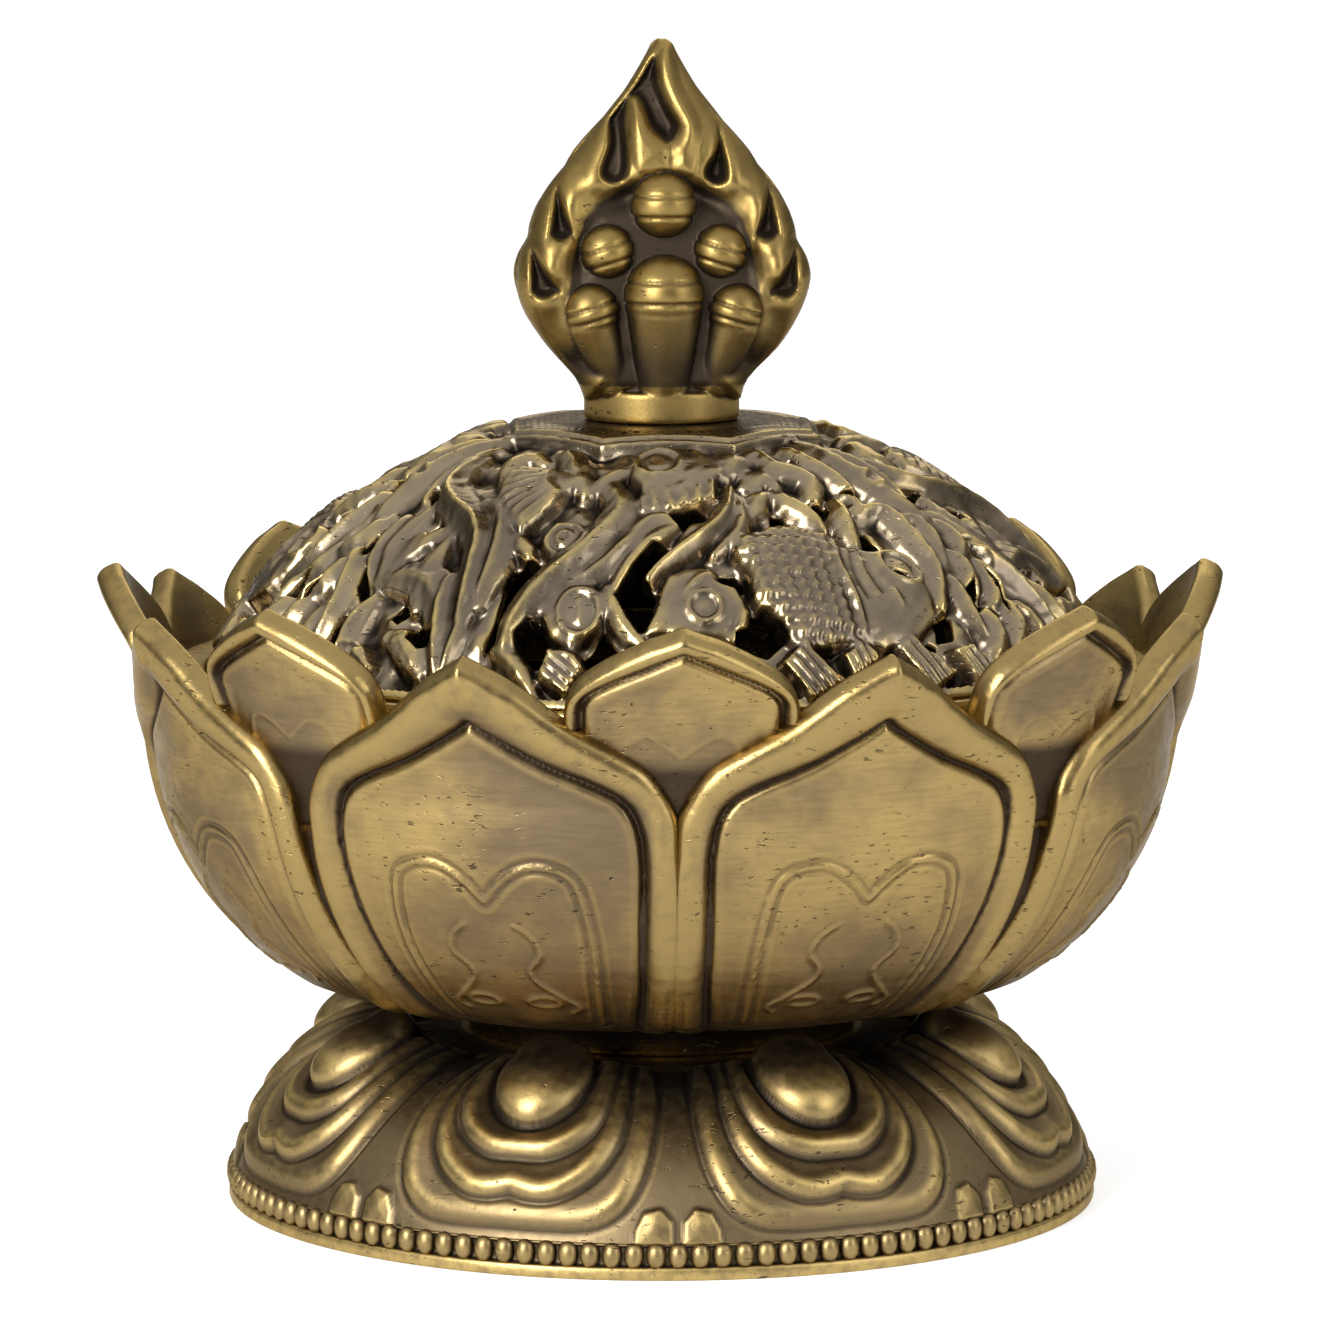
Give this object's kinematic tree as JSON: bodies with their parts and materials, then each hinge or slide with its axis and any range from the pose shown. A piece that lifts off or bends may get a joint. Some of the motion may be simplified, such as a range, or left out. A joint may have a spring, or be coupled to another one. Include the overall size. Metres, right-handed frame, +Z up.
{
  "type": "incense burner",
  "caption": "Lotus-shaped cast metal incense burner with a petalled pedestal, a pierced domed lid with a flame finial, and a heat mat and stick holder inside.",
  "frame": {"origin": "centre of the pedestal's flat underside, on the surface it stands on", "axes": "+Z up along the burner's axis; the front, where two outer petals part, faces -Y"},
  "size_m": [0.0988, 0.0988, 0.1025],
  "materials": {
    "cast_brass": "satin antique brass, bright on raised edges",
    "old_bronze": "dark bronze with a soft gloss",
    "finial_brass": "antique brass, polished on its edges",
    "holder_brass": "turned brass",
    "steel": "zinc-plated steel",
    "fibre": "pressed mineral fibre felt"
  },
  "bodies": {
    "base": {"pedestal": "cast_brass", "bowl": "cast_brass", "stem_screw": "steel", "stem_washer": "steel"},
    "lid": {"lid": "old_bronze", "finial": "finial_brass", "finial_screw": "steel", "finial_washer": "steel"},
    "mat": {"heat_mat": "fibre"},
    "holder": {"holder_plate": "holder_brass", "stick_socket": "holder_brass", "coil_prongs": "holder_brass"}
  },
  "joints": [
    {"name": "lid_lift", "type": "slide", "parent": "base", "child": "lid", "axis": [0, 0, 1], "range_m": [0, 0.06]},
    {"name": "mat_lift", "type": "slide", "parent": "base", "child": "mat", "axis": [0, 0, 1], "range_m": [0, 0.012]},
    {"name": "holder_lift", "type": "slide", "parent": "mat", "child": "holder", "axis": [0, 0, 1], "range_m": [0, 0.008]}
  ]
}
